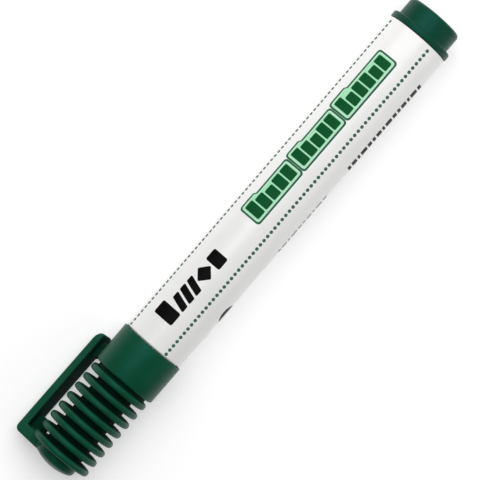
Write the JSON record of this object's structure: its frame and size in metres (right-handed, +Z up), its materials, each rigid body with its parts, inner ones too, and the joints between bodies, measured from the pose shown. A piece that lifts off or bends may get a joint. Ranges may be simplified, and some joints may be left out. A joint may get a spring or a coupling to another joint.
{
  "type": "whiteboard marker",
  "caption": "Round whiteboard marker with a finned pull-off cap, a springy pocket clip, a bullet nib, a printed white barrel and a pressed-in rear plug.",
  "frame": {"origin": "on the surface the marker lies on, under the middle of its box, clip included", "axes": "+X along the marker from the cap's domed end to the rear plug's flat end, +Z up from the surface, +Y towards the side that the clip leans to"},
  "size_m": [0.14, 0.0202, 0.0168],
  "materials": {
    "green_plastic": "injection-moulded polypropylene, deep bluish green, softly glossy",
    "white_plastic": "moulded polypropylene, opaque white, satin gloss",
    "printed_film": "thin white print film wrapped on the barrel, glossy, with green and black print",
    "milky_plastic": "natural, slightly milky polyethylene",
    "nib_fibre": "bonded acrylic fibre, soaked with dark green ink",
    "ink_fibre": "bundled polyester fibre, soaked with green ink"
  },
  "bodies": {
    "barrel": {"barrel": "white_plastic", "print_film": "printed_film", "nib_holder": "white_plastic", "nib": "nib_fibre", "ink_reservoir": "ink_fibre", "reservoir_wrap": "milky_plastic", "end_plug": "green_plastic"},
    "cap": {"cap": "green_plastic", "cap_liner": "milky_plastic"},
    "clip": {"pocket_clip": "green_plastic"}
  },
  "joints": [
    {"name": "cap_pull", "type": "slide", "parent": "barrel", "child": "cap", "axis": [-1, 0, 0], "range_m": [0, 0.04]},
    {"name": "clip_flex", "type": "hinge", "parent": "cap", "child": "clip", "pos_m": [-0.06165, 0.00804, 0.00263], "axis": [0, 0.509, 0.8608], "range_deg": [0, 5], "stiffness_Nm_per_rad": 2}
  ]
}
